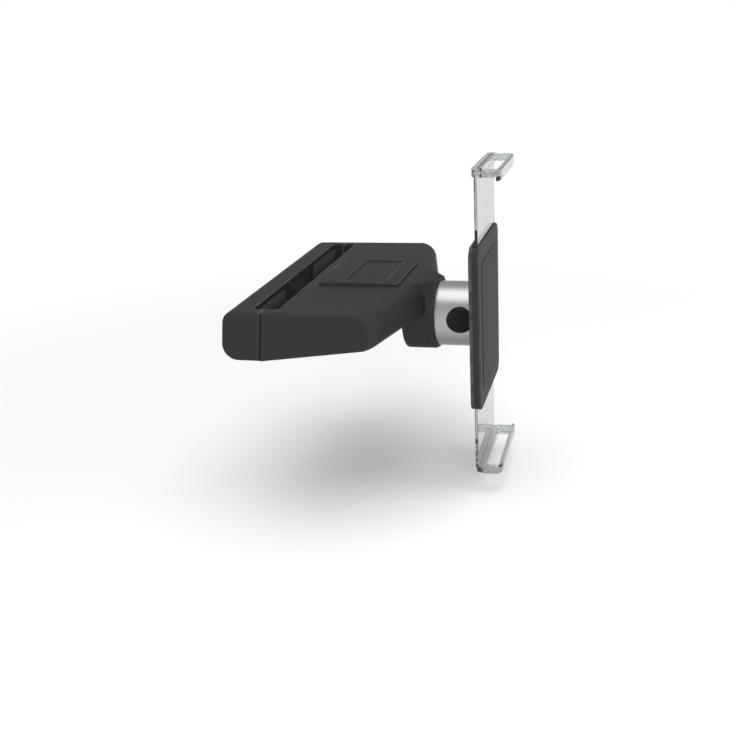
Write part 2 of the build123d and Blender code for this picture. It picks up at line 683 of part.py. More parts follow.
def ring_core():
    """Core inside the ring that takes the bolt and the spigot's nose."""
    solid = rod_y(CORE_RADIUS, LATCH_FRONT, RING_SEAT, z=RING_Z)
    nose = -HOLDER_BACK + SPIGOT_LENGTH + SWIVEL_GAP
    solid -= rod_y(SPIGOT_RADIUS + SPIGOT_FIT, LATCH_FRONT, nose, z=RING_Z)
    solid -= button_bore(BUTTON_RADIUS + BUTTON_GAP, CORE_RADIUS - BUTTON_THICKNESS)
    return solid - bolt_hole() - latch_screws(RING_FIT)


def latch_cover():
    """Rear half of the core that closes the latch's room and guides the spigot."""
    solid = rod_y(CORE_RADIUS, RING_END + RING_EDGE, LATCH_FRONT, z=RING_Z)
    solid -= rod_y(SPIGOT_RADIUS + SPIGOT_FIT, RING_END, LATCH_FRONT, z=RING_Z)
    return solid - latch_slot() - latch_screws(RING_FIT)


def latch_plate():
    """Steel plate whose offset hole catches the spigot's groove."""
    ring = Circle(LATCH_RADIUS) - Circle(LATCH_HOLE)
    plane = rear_plane(LATCH_FRONT - LATCH_PLAY / 2, RING_Z)
    return Pos(-BUTTON_TRAVEL, 0, 0) * extrude(plane * ring, amount=LATCH_THICKNESS)


def release_button():
    """Round button that follows the ring's curve, with a stem to the latch plate."""
    outer = RING_RADIUS + BUTTON_PROUD
    disc = rod_x(BUTTON_RADIUS, -outer, -(RING_INNER - BUTTON_GAP), BUTTON_Y, RING_Z + BUTTON_RISE)
    disc &= rod_y(outer, -FAR, FAR, z=RING_Z)
    half = BUTTON_STEM / 2
    stem = block(-outer + BUTTON_PROUD + RING_WALL / 2, -BUTTON_TRAVEL - LATCH_RADIUS,
                 LATCH_REAR - LATCH_PLAY / 2, LATCH_FRONT - LATCH_PLAY / 2, RING_Z - half, RING_Z + half)
    plane = rear_plane(LATCH_FRONT - LATCH_PLAY / 2, RING_Z)
    plate = Pos(-BUTTON_TRAVEL, 0, 0) * extrude(plane * Circle(LATCH_RADIUS), amount=LATCH_THICKNESS)
    return disc + stem - plate


def latch_spring():
    """Bowed leaf that pushes the latch plate back towards the button."""
    near = LATCH_RADIUS - BUTTON_TRAVEL + LATCH_PLAY
    half = SPRING_SPAN / 2
    far = math.sqrt((CORE_RADIUS - LATCH_PLAY) ** 2 - half**2)
    bow = ThreePointArc((far - SPRING_STRIP, -half), (near, 0), (far - SPRING_STRIP, half))
    back = ThreePointArc((far, half), (near + SPRING_STRIP, 0), (far, -half))
    strip = make_face([
        bow,
        Line((far - SPRING_STRIP, half), (far, half)),
        back,
        Line((far, -half), (far - SPRING_STRIP, -half)),
    ])
    plane = rear_plane(LATCH_FRONT - LATCH_PLAY, RING_Z)
    return extrude(plane * strip, amount=LATCH_THICKNESS - LATCH_PLAY)


def holder_outline(inset=0.0):
    """Rounded outline of the tablet holder."""
    width = 2 * (HOLDER_HALF_WIDTH - inset)
    height = 2 * (HOLDER_HALF_HEIGHT - inset)
    return RectangleRounded(width, height, HOLDER_CORNER - min(inset, HOLDER_CORNER / 2))


def holder_screw_places():
    """Screw places along both rails of the holder."""
    x = HOLDER_HALF_WIDTH - HOLDER_SCREW_INSET
    return [(side * x, z) for side in (-1, 1) for z in (-HOLDER_SCREW_ROW, 0, HOLDER_SCREW_ROW)]


def holder_screws(gap=0.0):
    """Screws through the holder's back into its rails."""
    one = screw(HOLDER_SCREW_RADIUS + gap, HOLDER_SCREW_HEAD + gap, HOLDER_SCREW_SINK,
                HOLDER_SCREW_LENGTH + gap)
    return [HOLDER * Pos(x, -HOLDER_BACK, z) * Rot(90, 0, 0) * one for x, z in holder_screw_places()]


def holder_back():
    """Back plate with the spigot that turns in the ring and a rib that closes the upper end."""
    plate = upright(holder_outline(), BACK_INNER, -HOLDER_BACK)
    spigot = rod_y(SPIGOT_RADIUS, -HOLDER_BACK, -HOLDER_BACK + SPIGOT_LENGTH)
    rims = spigot.edges().filter_by(GeomType.CIRCLE).sort_by(Axis.Y)
    spigot = chamfer(rims[-1:], SPIGOT_NOSE)
    groove = rod_y(SPIGOT_RADIUS, LATCH_REAR - LATCH_PLAY, LATCH_FRONT + LATCH_PLAY)
    groove -= rod_y(SPIGOT_RADIUS - SPIGOT_GROOVE, LATCH_REAR - LATCH_PLAY, LATCH_FRONT + LATCH_PLAY)
    half = ARM_HALF_WIDTH - HOLDER_CORNER / 2
    rib = block(-half, half, REAR_LAYER - ARM_THICKNESS, BACK_INNER,
                HOLDER_HALF_HEIGHT - END_RIB, HOLDER_HALF_HEIGHT)
    solid = plate + (spigot - groove) + rib
    solid -= rod_y(AXLE_RADIUS, BACK_INNER, BACK_INNER + AXLE_SEAT)
    return HOLDER * solid - holder_screws(RING_FIT)


def holder_front():
    """Front shell with two rails, open at the top for one arm and at the bottom for the other."""
    solid = upright(holder_outline(), HOLDER_FRONT, BACK_INNER)
    solid = fillet(solid.faces().sort_by(Axis.Y)[0].edges(), HOLDER_EDGE)
    half = ARM_HALF_WIDTH + LAYER_GAP
    solid -= block(-half, half, FRONT_INNER, BACK_INNER, -FAR, FAR)
    solid += block(-half, half, FRONT_INNER, FRONT_LAYER,
                   -HOLDER_HALF_HEIGHT, -HOLDER_HALF_HEIGHT + END_RIB)
    pad = holder_outline(REST_PAD_MARGIN)
    recess = REST_PAD_THICKNESS - REST_PAD_PROUD
    solid -= upright(pad, HOLDER_FRONT, HOLDER_FRONT + recess)
    return HOLDER * solid - holder_screws(RING_FIT)


def rest_pad():
    """Soft pad that the tablet's back rests on."""
    return HOLDER * upright(holder_outline(REST_PAD_MARGIN), REST_FACE, REST_FACE + REST_PAD_THICKNESS)


def rack_tooth():
    """One straight-sided rack tooth, pointing along +X from the pitch line."""
    lean = math.tan(math.radians(PRESSURE_ANGLE))
    half = GEAR_PITCH / 4 - BACKLASH / 4
    root = PINION_ADDENDUM + GEAR_ROOT_GAP
    tip = RACK_ADDENDUM
    tip_half = half - tip * lean
    root_half = half + root * lean
    corners = [(-root, -root_half), (tip, -tip_half), (tip, tip_half), (-root, root_half)]
    return make_face(Polyline(*corners, close=True))


def arm_plan():
    """Plan of an arm's plate: forked round the pinion, with the rack on its left leg."""
    root = PITCH_RADIUS + PINION_ADDENDUM + GEAR_ROOT_GAP
    room = PITCH_RADIUS + PINION_ADDENDUM + NOTCH_ROOM
    height = ARM_FOOT + TABLET_HALF_HEIGHT
    plate = Pos(0, (TABLET_HALF_HEIGHT - ARM_FOOT) / 2) * Rectangle(2 * ARM_HALF_WIDTH, height)
    plate = fillet(plate.vertices().group_by(Axis.Y)[0], HOLDER_CORNER / 2)
    top = SLIDE_IN + room
    notch = Pos((room - root) / 2, (top - ARM_FOOT) / 2) * Rectangle(room + root, top + ARM_FOOT)
    plate -= fillet(notch.vertices().group_by(Axis.Y)[-1], PITCH_RADIUS)
    first = -int((ARM_FOOT - GEAR_PITCH) / GEAR_PITCH)
    last = int((SLIDE_IN + GEAR_PITCH) / GEAR_PITCH)
    for tooth in range(first, last + 1):
        plate += Pos(-PITCH_RADIUS, tooth * GEAR_PITCH) * rack_tooth()
    return plate


def clip():
    """Looped clip over the tablet's edge: rear bar, two bridges round a window, and a front lip."""
    depth = CLIP_REAR - LIP_FRONT
    low = TABLET_HALF_HEIGHT - LIP_OVERLAP
    plan = Pos(0, (CLIP_REAR + LIP_FRONT) / 2) * RectangleRounded(2 * ARM_HALF_WIDTH, depth, CLIP_CORNER)
    loop = extrude(Pos(0, 0, low) * plan, amount=CLIP_TOP - low)
    loop = fillet(loop.faces().sort_by(Axis.Z)[-1].edges(), CLIP_EDGE)
    loop -= block(-FAR, FAR, LIP_INNER, CLIP_REAR, low, TABLET_HALF_HEIGHT)
    half = ARM_HALF_WIDTH - CLIP_END_WIDTH
    front = CLIP_REAR - CLIP_BAR_DEPTH
    window = Pos(0, (front + LIP_INNER) / 2) * RectangleRounded(2 * half, front - LIP_INNER, LIP_ROUND)
    loop -= extrude(Pos(0, 0, low) * window, amount=CLIP_TOP)
    width = 2 * (ARM_HALF_WIDTH - CLIP_CORNER / 2)
    bar = Pos(0, CLIP_REAR - CLIP_BAR_DEPTH / 2) * RectangleRounded(width, CLIP_BAR_DEPTH, LIP_ROUND)
    return loop + extrude(Pos(0, 0, TABLET_HALF_HEIGHT) * bar, amount=CLIP_BRIDGE + CLIP_BAR_RISE)


def upper_arm():
    """Clear upper arm in the holder's front layer, with its clip."""
    return HOLDER * (upright(arm_plan(), FRONT_LAYER - ARM_THICKNESS, FRONT_LAYER) + clip())


def lower_arm():
    """Clear lower arm in the holder's rear layer: the upper one turned half round."""
    plate = upright(arm_plan(), REAR_LAYER - ARM_THICKNESS, REAR_LAYER)
    return HOLDER * Rot(0, 180, 0) * (plate + clip())


def involute_flank():
    """Radius and angle of points up one flank of a pinion tooth, from its root."""
    base = PITCH_RADIUS * math.cos(math.radians(PRESSURE_ANGLE))
    root = PITCH_RADIUS - RACK_ADDENDUM - GEAR_ROOT_GAP
    tip = PITCH_RADIUS + PINION_ADDENDUM
    pressure = math.radians(PRESSURE_ANGLE)
    half = math.pi / 2 / GEAR_TEETH - BACKLASH / 4 / PITCH_RADIUS
    at_base = half + math.tan(pressure) - pressure
    points = [(min(root, base), at_base)]
    for step in range(FLANK_STEPS):
        radius = base + (tip - base) * step / (FLANK_STEPS - 1)
        turn = math.acos(base / radius)
        points.append((radius, at_base - math.tan(turn) + turn))
    return points


def pinion():
    """Small gear between the two racks, with a space facing each rack at rest."""
    flank = involute_flank()
    outline = []
    for tooth in range(GEAR_TEETH):
        middle = (tooth + 0.5) * 2 * math.pi / GEAR_TEETH
        polar = [(r, middle - a) for r, a in flank] + [(r, middle + a) for r, a in reversed(flank)]
        outline += [(r * math.cos(a), r * math.sin(a)) for r, a in polar]
    face = make_face(Polyline(*outline, close=True)) - Circle(AXLE_RADIUS + AXLE_FIT)
    return HOLDER * upright(face, FRONT_INNER + PINION_PLAY, BACK_INNER - WASHER_THICKNESS - PINION_PLAY)


def pinion_axle():
    """Steel axle of the pinion, seated in the spigot."""
    return HOLDER * rod_y(AXLE_RADIUS, FRONT_INNER, BACK_INNER + AXLE_SEAT)


def friction_washer():
    """Thin washer that keeps the pinion from turning freely."""
    ring = Circle(WASHER_RADIUS) - Circle(AXLE_RADIUS + AXLE_FIT)
    return HOLDER * upright(ring, BACK_INNER - WASHER_THICKNESS, BACK_INNER)


def grouped(solids):
    """Like pieces kept as one group of separate solids."""
    return Compound(children=solids)


PARTS = {
    "body_housing": body_housing,
    "base_cover": base_cover,
    "cover_screws": lambda: grouped(cover_screws()),
    "body_pad_left": lambda: slot_pad(-1, 1),
    "body_pad_right": lambda: slot_pad(1, 1),
    "lever_pin": lever_pin,
    "brake_shoe": shoe,
    "ring_sleeve": ring_sleeve,
    "ring_core": ring_core,
    "ring_bolt": bolt,
    "latch_cover": latch_cover,
    "latch_screws": lambda: grouped(latch_screws()),
    "latch_spring": latch_spring,
    "front_jaw": front_jaw,
    "jaw_pad_left": lambda: slot_pad(-1, -1),
    "jaw_pad_right": lambda: slot_pad(1, -1),
    "draw_bar": draw_bar,
    "bar_screw": bar_screw,
    "guide_rod_left": lambda: guide_rod(-1),
    "guide_rod_right": lambda: guide_rod(1),
    "clamp_lever": clamp_lever,
    "release_button": release_button,
    "latch_plate": latch_plate,
    "holder_back": holder_back,
    "holder_front": holder_front,
    "holder_screws": lambda: grouped(holder_screws()),
    "rest_pad": rest_pad,
    "pinion_axle": pinion_axle,
    "friction_washer": friction_washer,
    "pinion": pinion,
    "upper_arm": upper_arm,
    "lower_arm": lower_arm,
}

os.makedirs("parts", exist_ok=True)
for name, make in PARTS.items():
    export_step(make(), f"parts/{name}.step")
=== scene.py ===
"""Looks of a headrest tablet mount: finishes, fine surface pieces, floor, light and camera.

The solids of the frame keep their shapes and get a finish each. The liners of the clamp's slot and three sets
of screws are replaced by finer pieces. Sizes of pieces are in millimetres, and the studio is in metres.
"""
from __future__ import annotations

import json
import logging
import math
from abc import ABC, abstractmethod
from dataclasses import dataclass, field
from enum import Enum

import bpy
import numpy as np
from mathutils import Matrix, Vector

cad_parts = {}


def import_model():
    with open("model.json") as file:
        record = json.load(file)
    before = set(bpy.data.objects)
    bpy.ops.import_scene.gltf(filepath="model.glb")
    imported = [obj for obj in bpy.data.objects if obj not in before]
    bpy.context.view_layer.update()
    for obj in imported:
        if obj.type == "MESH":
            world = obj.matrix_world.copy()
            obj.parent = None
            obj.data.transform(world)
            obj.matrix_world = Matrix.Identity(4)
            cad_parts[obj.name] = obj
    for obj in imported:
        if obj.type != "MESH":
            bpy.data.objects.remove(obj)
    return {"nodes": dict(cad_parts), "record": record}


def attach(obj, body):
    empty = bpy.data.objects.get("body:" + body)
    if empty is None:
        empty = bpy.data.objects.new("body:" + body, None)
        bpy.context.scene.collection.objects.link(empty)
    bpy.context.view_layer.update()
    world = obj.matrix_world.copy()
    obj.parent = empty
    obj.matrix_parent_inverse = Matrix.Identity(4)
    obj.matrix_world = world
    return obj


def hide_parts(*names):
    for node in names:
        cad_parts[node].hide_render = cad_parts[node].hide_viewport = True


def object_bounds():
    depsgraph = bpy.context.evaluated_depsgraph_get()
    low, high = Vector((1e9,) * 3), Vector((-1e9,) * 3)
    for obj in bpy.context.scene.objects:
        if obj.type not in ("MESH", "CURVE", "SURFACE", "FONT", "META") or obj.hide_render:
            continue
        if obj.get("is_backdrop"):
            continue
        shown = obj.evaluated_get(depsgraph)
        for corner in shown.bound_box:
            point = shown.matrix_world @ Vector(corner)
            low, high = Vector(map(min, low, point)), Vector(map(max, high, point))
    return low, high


LOG = logging.getLogger("tablet_mount")
MM = 0.001
# The lower clip needs this room under the part at the end of its travel.
CLIP_ROOM_MM = 13.0
WHITE = (1.0, 1.0, 1.0, 1.0)
# A colour mix has several sockets of one name, so its colours go by their places.
MIX_FIRST, MIX_SECOND, MIX_RESULT = 6, 7, 2

Span = tuple[float, float]
Point = tuple[float, float, float]


class Slot(Enum):
    """Material slots of the record."""

    PLASTIC = "moulded_plastic"
    INNER = "inner_plastic"
    RUBBER = "soft_rubber"
    STEEL = "steel"
    ALUMINIUM = "satin_aluminium"
    CLEAR = "clear_plastic"


def linear(hex_colour: str) -> tuple[float, float, float, float]:
    """Turn an sRGB hex colour into a linear colour, by the standard's own curve.

    Args:
        hex_colour: six hex digits with a leading hash.

    Returns:
        Red, green, blue and alpha as the shader takes them.
    """
    parts = np.array([int(hex_colour[i : i + 2], 16) for i in (1, 3, 5)]) / 255.0
    low = parts / 12.92
    high = ((parts + 0.055) / 1.055) ** 2.4
    red, green, blue = np.where(parts <= 0.04045, low, high)
    return float(red), float(green), float(blue), 1.0


def per_metre(size_mm: float) -> float:
    """Give the scale of a pattern whose features have a size in millimetres."""
    return 1 / (size_mm * MM)


def around(middle: float, spread: Span) -> Span:
    """Give the two ends of a spread about a middle value."""
    return middle + spread[0], middle + spread[1]


def add_node(
    tree: bpy.types.NodeTree,
    kind: str,
    inputs: dict[str | int, object] | None = None,
    **settings: object,
) -> bpy.types.Node:
    """Add a node, set its options and fill its inputs.

    Args:
        tree: node tree that takes the node.
        kind: Blender's name of the node type.
        inputs: values for the sockets by name or place; an output socket is linked.
        **settings: attributes of the node.

    Returns:
        The new node.
    """
    node = tree.nodes.new(kind)
    for name, value in settings.items():
        setattr(node, name, value)
    for key, value in (inputs or {}).items():
        if isinstance(value, bpy.types.NodeSocket):
            tree.links.new(value, node.inputs[key])
        else:
            node.inputs[key].default_value = value
    return node


@dataclass(frozen=True)
class Finish(ABC):
    """A procedural finish, drawn in Object coordinates."""

    name: str

    @abstractmethod
    def shader(self, tree: bpy.types.NodeTree, place: bpy.types.NodeSocket) -> bpy.types.Node:
        """Build the finish's own nodes.

        Args:
            tree: node tree that takes them.
            place: Object coordinates.

        Returns:
            The shader node at their end.
        """

    def material(self) -> bpy.types.Material:
        """Make the material.

        Returns:
            The new material, with the finish's shader as its surface.
        """
        material = bpy.data.materials.new(self.name)
        material.use_nodes = True
        tree = material.node_tree
        tree.nodes.clear()
        place = add_node(tree, "ShaderNodeTexCoord").outputs["Object"]
        add_node(tree, "ShaderNodeOutputMaterial", {"Surface": self.shader(tree, place).outputs[0]})
        return material


@dataclass(frozen=True)
class MouldedPlastic(Finish):
    """Charcoal ABS from a spark-eroded mould: an even, finely pebbled satin, rubbed smooth on its edges, with
    a lighter colour painted on the edges as highlight and wear.
    """

    name: str = "charcoal_abs_moulded"
    colour: str = "#252827"
    cloud: str = "#2B2E2D"
    # Lighter edge colour: part painted highlight, part wear.
    worn_highlight: str = "#555957"
    roughness: float = 0.56
    grain_roughness: Span = (-0.05, 0.07)
    worn_roughness: float = -0.12
    ior: float = 1.53
    specular: float = 0.12
    # True grain is about 0.1 mm; it is drawn coarser so that it shows.
    grain_mm: float = 0.9
    grain_detail: float = 3.0
    grain_crispness: float = 0.6
    grain_span: Span = (0.3, 0.7)
    grain_height_mm: float = 0.1
    bump: float = 0.25
    cloud_mm: float = 40.0
    cloud_detail: float = 2.0
    patch_mm: float = 6.0
    patch_detail: float = 4.0
    patch_span: Span = (0.35, 0.65)
    patch_highlight_wear: Span = (0.25, 1.0)
    edge_mm: float = 0.8
    edge_samples: int = 4
    # This depth stays under the thinnest wall, or the whole wall would get the painted highlight and wear
    # colour.
    highlight_wear_mm: float = 1.1
    highlight_wear_samples: int = 8
    highlight_wear_span: Span = (0.94, 0.62)

    def shader(self, tree: bpy.types.NodeTree, place: bpy.types.NodeSocket) -> bpy.types.Node:
        """Build the grain as fine bump, the cloud as colour, and a lighter colour where little lies behind a
        surface, as painted edge highlight and wear.

        Args:
            tree: node tree that takes the nodes.
            place: Object coordinates.

        Returns:
            The shader node.
        """
        grain = add_node(tree, "ShaderNodeTexNoise", {
            "Vector": place, "Scale": per_metre(self.grain_mm), "Detail": self.grain_detail,
            "Roughness": self.grain_crispness,
        })
        cloud = add_node(tree, "ShaderNodeTexNoise", {
            "Vector": place, "Scale": per_metre(self.cloud_mm), "Detail": self.cloud_detail,
        })
        patch = add_node(tree, "ShaderNodeTexNoise", {
            "Vector": place, "Scale": per_metre(self.patch_mm), "Detail": self.patch_detail,
        })
        # The real edges have a small radius, which gives each a thin line of light.
        edge = add_node(tree, "ShaderNodeBevel", {"Radius": self.edge_mm * MM}, samples=self.edge_samples)
        # Where little lies behind the surface, at convex edges, a lighter colour is painted as an edge
        # highlight and as rub wear.
        behind = add_node(
            tree, "ShaderNodeAmbientOcclusion", {"Distance": self.highlight_wear_mm * MM},
            samples=self.highlight_wear_samples, inside=True, only_local=True,
        )
        sharp = add_node(tree, "ShaderNodeMapRange", {
            "Value": behind.outputs["AO"], "From Min": self.highlight_wear_span[0], "From Max": self.highlight_wear_span[1],
        })
        patchy_highlight_wear = add_node(tree, "ShaderNodeMapRange", {
            "Value": patch.outputs["Fac"], "From Min": self.patch_span[0], "From Max": self.patch_span[1],
            "To Min": self.patch_highlight_wear[0], "To Max": self.patch_highlight_wear[1],
        })
        highlight_and_wear = add_node(
            tree, "ShaderNodeMath", {0: sharp.outputs[0], 1: patchy_highlight_wear.outputs[0]}, operation="MULTIPLY",
        )
        body = add_node(tree, "ShaderNodeMix", {
            "Factor": cloud.outputs["Fac"], MIX_FIRST: linear(self.colour), MIX_SECOND: linear(self.cloud),
        }, data_type="RGBA")
        # The lighter colour mixed in here is partly painted highlight and partly wear.
        colour = add_node(tree, "ShaderNodeMix", {
            "Factor": highlight_and_wear.outputs[0], MIX_FIRST: body.outputs[MIX_RESULT], MIX_SECOND: linear(self.worn_highlight),
        }, data_type="RGBA")
        smooth, coarse = around(self.roughness, self.grain_roughness)
        pebbled = add_node(tree, "ShaderNodeMapRange", {
            "Value": grain.outputs["Fac"], "From Min": self.grain_span[0], "From Max": self.grain_span[1],
            "To Min": smooth, "To Max": coarse,
        })
        rough = add_node(
            tree, "ShaderNodeMath", {0: highlight_and_wear.outputs[0], 1: self.worn_roughness, 2: pebbled.outputs[0]},
            operation="MULTIPLY_ADD",
        )
        bump = add_node(tree, "ShaderNodeBump", {
            "Height": grain.outputs["Fac"], "Strength": self.bump, "Distance": self.grain_height_mm * MM,
            "Normal": edge.outputs[0],
        })
        return add_node(tree, "ShaderNodeBsdfPrincipled", {
            "Base Color": colour.outputs[MIX_RESULT], "Roughness": rough.outputs[0], "IOR": self.ior,
            "Specular IOR Level": self.specular, "Normal": bump.outputs[0],
        })


@dataclass(frozen=True)
class SoftRubber(Finish):
    """Black thermoplastic rubber, moulded: dull, with a faint bloom on its surface."""

    name: str = "black_rubber_moulded"
    colour: str = "#161717"
    bloom: str = "#232525"
    roughness: float = 0.78
    ior: float = 1.5
    grain_mm: float = 0.7
    grain_detail: float = 4.0
    grain_height_mm: float = 0.1
    bump: float = 0.15

    def shader(self, tree: bpy.types.NodeTree, place: bpy.types.NodeSocket) -> bpy.types.Node:
        """Build the bloom as a patchy colour over a soft grain.

        Args:
            tree: node tree that takes the nodes.
            place: Object coordinates.

        Returns:
            The shader node.
        """
        grain = add_node(tree, "ShaderNodeTexNoise", {
            "Vector": place, "Scale": per_metre(self.grain_mm), "Detail": self.grain_detail,
        })
        colour = add_node(tree, "ShaderNodeMix", {
            "Factor": grain.outputs["Fac"], MIX_FIRST: linear(self.colour), MIX_SECOND: linear(self.bloom),
        }, data_type="RGBA")
        bump = add_node(tree, "ShaderNodeBump", {
            "Height": grain.outputs["Fac"], "Strength": self.bump, "Distance": self.grain_height_mm * MM,
        })
        return add_node(tree, "ShaderNodeBsdfPrincipled", {
            "Base Color": colour.outputs[MIX_RESULT], "Roughness": self.roughness, "Normal": bump.outputs[0],
            "IOR": self.ior,
        })


@dataclass(frozen=True)
class TurnedAluminium(Finish):
    """Clear anodised aluminium tube, turned and then bead blasted: soft satin with faint turning rings."""

    name: str = "aluminium_satin_anodised"
    colour: str = "#A8A8A7"
    roughness: float = 0.34
    ring_roughness: Span = (-0.06, 0.06)
    ring_mm: float = 0.35
    # Round the tube a ring changes this slowly, so that it stays a ring.
    ring_length_mm: float = 50.0
    ring_detail: float = 2.0
    ring_span: Span = (0.3, 0.7)
    bead_mm: float = 0.25
    bead_detail: float = 2.0
    bead_height_mm: float = 0.05
    bump: float = 0.05

    def shader(self, tree: bpy.types.NodeTree, place: bpy.types.NodeSocket) -> bpy.types.Node:
        """Build the rings as noise that changes along the tube only, and the blasting as fine grain.

        Args:
            tree: node tree that takes the nodes.
            place: Object coordinates.

        Returns:
            The shader node.
        """
        slow = per_metre(self.ring_length_mm)
        along = add_node(tree, "ShaderNodeMapping", {
            "Vector": place, "Scale": (slow, per_metre(self.ring_mm), slow),
        })
        rings = add_node(tree, "ShaderNodeTexNoise", {
            "Vector": along.outputs[0], "Scale": 1.0, "Detail": self.ring_detail,
        })
        beads = add_node(tree, "ShaderNodeTexNoise", {
            "Vector": place, "Scale": per_metre(self.bead_mm), "Detail": self.bead_detail,
        })
        smooth, coarse = around(self.roughness, self.ring_roughness)
        rough = add_node(tree, "ShaderNodeMapRange", {
            "Value": rings.outputs["Fac"], "From Min": self.ring_span[0], "From Max": self.ring_span[1],
            "To Min": smooth, "To Max": coarse,
        })
        height = add_node(
            tree, "ShaderNodeMath", {0: rings.outputs["Fac"], 1: beads.outputs["Fac"]}, operation="ADD",
        )
        bump = add_node(tree, "ShaderNodeBump", {
            "Height": height.outputs[0], "Strength": self.bump, "Distance": self.bead_height_mm * MM,
        })
        return add_node(tree, "ShaderNodeBsdfPrincipled", {
            "Base Color": linear(self.colour), "Metallic": 1.0, "Roughness": rough.outputs[0],
            "Normal": bump.outputs[0],
        })


@dataclass(frozen=True)
class PlatedSteel(Finish):
    """Zinc-plated steel: a cool grey metal with fine drawn scratches."""

    name: str = "steel_zinc_plated"
    colour: str = "#B4B6B8"
    dull: str = "#8F9193"
    roughness: float = 0.3
    scratch_roughness: Span = (-0.08, 0.12)
    scratch_mm: float = 0.3
    scratch_detail: float = 3.0
    # Along Y the scratches are drawn out by one over this share.
    scratch_stretch: float = 0.15

    def shader(self, tree: bpy.types.NodeTree, place: bpy.types.NodeSocket) -> bpy.types.Node:
        """Build patchy plating and fine scratches from one stretched noise.

        Args:
            tree: node tree that takes the nodes.
            place: Object coordinates.

        Returns:
            The shader node.
        """
        drawn = add_node(tree, "ShaderNodeMapping", {
            "Vector": place, "Scale": (1.0, self.scratch_stretch, 1.0),
        })
        scratch = add_node(tree, "ShaderNodeTexNoise", {
            "Vector": drawn.outputs[0], "Scale": per_metre(self.scratch_mm), "Detail": self.scratch_detail,
        })
        colour = add_node(tree, "ShaderNodeMix", {
            "Factor": scratch.outputs["Fac"], MIX_FIRST: linear(self.colour), MIX_SECOND: linear(self.dull),
        }, data_type="RGBA")
        smooth, coarse = around(self.roughness, self.scratch_roughness)
        rough = add_node(tree, "ShaderNodeMapRange", {
            "Value": scratch.outputs["Fac"], "To Min": smooth, "To Max": coarse,
        })
        return add_node(tree, "ShaderNodeBsdfPrincipled", {
            "Base Color": colour.outputs[MIX_RESULT], "Metallic": 1.0, "Roughness": rough.outputs[0],
        })


@dataclass(frozen=True)
class ClearAcrylic(Finish):
    """Moulded clear acrylic: polished, with a light smoke tint, faint flow ripples and rounded edges."""

    name: str = "acrylic_clear_moulded"
    colour: str = "#BFC2C2"
    roughness: float = 0.04
    ior: float = 1.49
    ripple_mm: float = 14.0
    ripple_detail: float = 1.0
    ripple_height_mm: float = 0.4
    bump: float = 0.12
    edge_mm: float = 0.5
    edge_samples: int = 4

    def shader(self, tree: bpy.types.NodeTree, place: bpy.types.NodeSocket) -> bpy.types.Node:
        """Build the ripples as a slow bump on softened edges, in a clear refracting body.

        Args:
            tree: node tree that takes the nodes.
            place: Object coordinates.

        Returns:
            The shader node.
        """
        ripple = add_node(tree, "ShaderNodeTexNoise", {
            "Vector": place, "Scale": per_metre(self.ripple_mm), "Detail": self.ripple_detail,
        })
        edge = add_node(tree, "ShaderNodeBevel", {"Radius": self.edge_mm * MM}, samples=self.edge_samples)
        bump = add_node(tree, "ShaderNodeBump", {
            "Height": ripple.outputs["Fac"], "Strength": self.bump, "Distance": self.ripple_height_mm * MM,
            "Normal": edge.outputs[0],
        })
        return add_node(tree, "ShaderNodeBsdfPrincipled", {
            "Base Color": linear(self.colour), "Roughness": self.roughness, "IOR": self.ior,
            "Transmission Weight": 1.0, "Normal": bump.outputs[0],
        })


@dataclass(frozen=True)
class PaleFloor(Finish):
    """Matt pale card that fades into the white surroundings."""

    name: str = "floor_pale"
    colour: str = "#F2F2F2"
    fade: Span = (0.17, 0.62)

    def shader(self, tree: bpy.types.NodeTree, place: bpy.types.NodeSocket) -> bpy.types.Node:
        """Build a matt surface that turns to plain white with the distance from the origin.

        Args:
            tree: node tree that takes the nodes.
            place: Object coordinates.

        Returns:
            The shader node.
        """
        distance = add_node(tree, "ShaderNodeVectorMath", {0: place}, operation="LENGTH")
        fade = add_node(tree, "ShaderNodeMapRange", {
            "Value": distance.outputs["Value"], "From Min": self.fade[0], "From Max": self.fade[1],
        }, interpolation_type="SMOOTHSTEP")
        matt = add_node(tree, "ShaderNodeBsdfDiffuse", {"Color": linear(self.colour)})
        glow = add_node(tree, "ShaderNodeEmission", {"Color": WHITE, "Strength": 1.0})
        return add_node(tree, "ShaderNodeMixShader", {
            0: fade.outputs[0], 1: matt.outputs[0], 2: glow.outputs[0],
        })


# Its lighter edge colour is also partly a painted edge highlight and partly wear.
INNER_PLASTIC = MouldedPlastic(
    name="black_abs_inner", colour="#131414", cloud="#191A1A", worn_highlight="#2B2D2D", roughness=0.6,
)


@dataclass
class Finishes:
    """The finishes of the mount, each built once."""

    made: dict[Slot, bpy.types.Material] = field(default_factory=dict)

    def build(self) -> None:
        """Build one material for each slot."""
        self.made = {
            Slot.PLASTIC: MouldedPlastic().material(),
            Slot.INNER: INNER_PLASTIC.material(),
            Slot.RUBBER: SoftRubber().material(),
            Slot.STEEL: PlatedSteel().material(),
            Slot.ALUMINIUM: TurnedAluminium().material(),
            Slot.CLEAR: ClearAcrylic().material(),
        }

    def dress(self, piece: bpy.types.Object, slot: Slot) -> None:
        """Give a piece the finish of one slot."""
        piece.data.materials.clear()
        piece.data.materials.append(self.made[slot])


def tube_faces(rows: int, columns: int) -> list[list[int]]:
    """Give the faces of rings that follow each other, closed by a fan at each end.

    Args:
        rows: number of rings.
        columns: points on each ring.

    Returns:
        Point numbers of each face; point (i, j) has the number i * columns + j, and the middles of the first
        and the last ring come after all the rings.
    """
    ring, step = np.meshgrid(np.arange(rows - 1), np.arange(columns), indexing="ij")
    here = ring * columns + step
    beside = ring * columns + (step + 1) % columns
    sides = np.stack([here, beside, beside + columns, here + columns], axis=-1).reshape(-1, 4)
    step = np.arange(columns)
    after = (step + 1) % columns
    base = (rows - 1) * columns
    start = np.stack([after, step, np.full(columns, rows * columns)], axis=-1)
    end = np.stack([base + step, base + after, np.full(columns, rows * columns + 1)], axis=-1)
    return sides.tolist() + start.tolist() + end.tolist()


